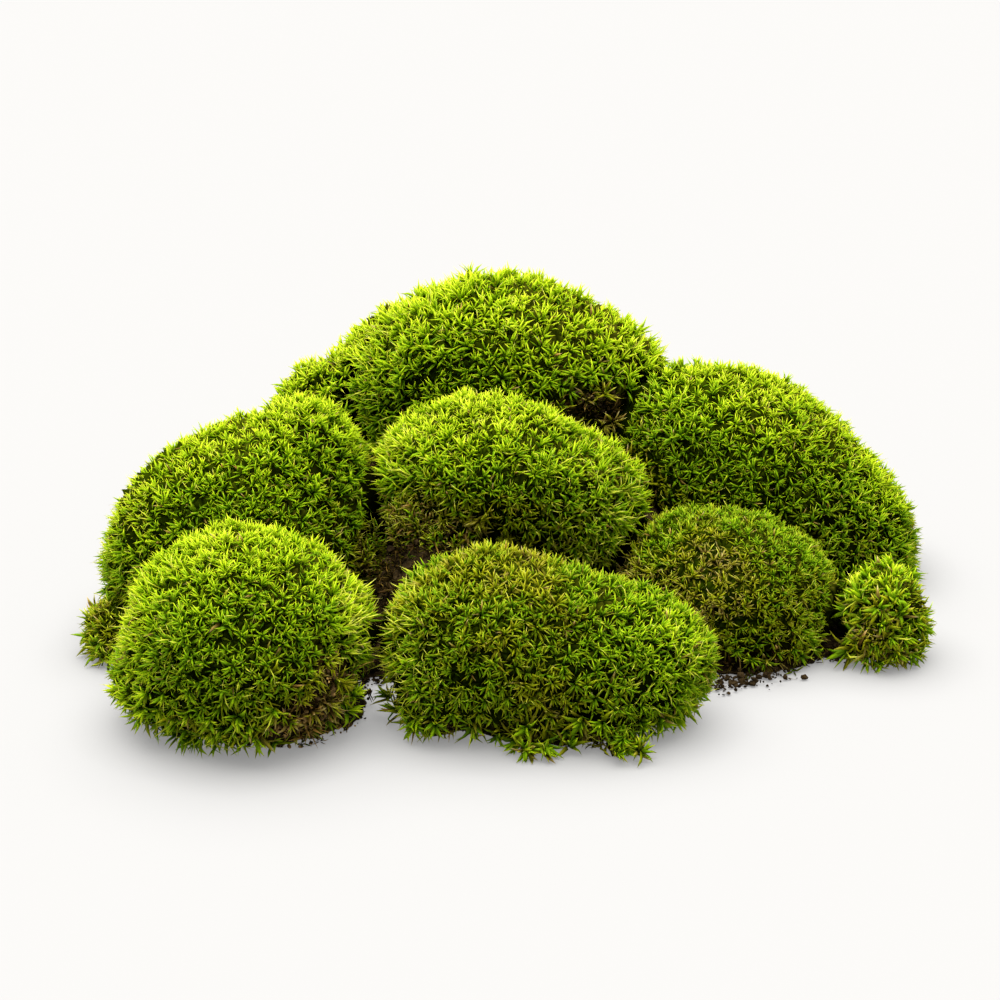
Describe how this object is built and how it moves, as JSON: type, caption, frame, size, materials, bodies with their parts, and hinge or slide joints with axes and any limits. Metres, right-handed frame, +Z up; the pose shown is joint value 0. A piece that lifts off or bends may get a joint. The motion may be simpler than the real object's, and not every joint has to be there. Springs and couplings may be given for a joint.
{
  "type": "moss clump",
  "caption": "Mound of domed green moss cushions grown together over a low bed of dark crumbly soil, lying flat on its cut underside.",
  "frame": {"origin": "middle of the clump's outline, on the flat underside that it rests on", "axes": "+X to the right as seen from the low front, +Y towards the high back cushion, +Z up"},
  "size_m": [0.2819, 0.2327, 0.1016],
  "materials": {
    "moss_bright": "soft, leafy, vivid lime green",
    "moss_deep": "soft, leafy, deep green",
    "moss_yellow": "soft, leafy, yellow green",
    "moss_olive": "short and dense, olive green",
    "soil": "dull, crumbly, dark brown"
  },
  "bodies": {
    "root": {"front_left_cushion": "moss_bright", "front_cushion": "moss_yellow", "small_right_cushion": "moss_yellow", "middle_right_cushion": "moss_olive", "left_foot_tuft": "moss_yellow", "left_cushion": "moss_deep", "centre_cushion": "moss_bright", "back_right_cushion": "moss_deep", "back_cushion": "moss_bright", "back_left_cushion": "moss_bright", "soil": "soil"}
  },
  "joints": []
}
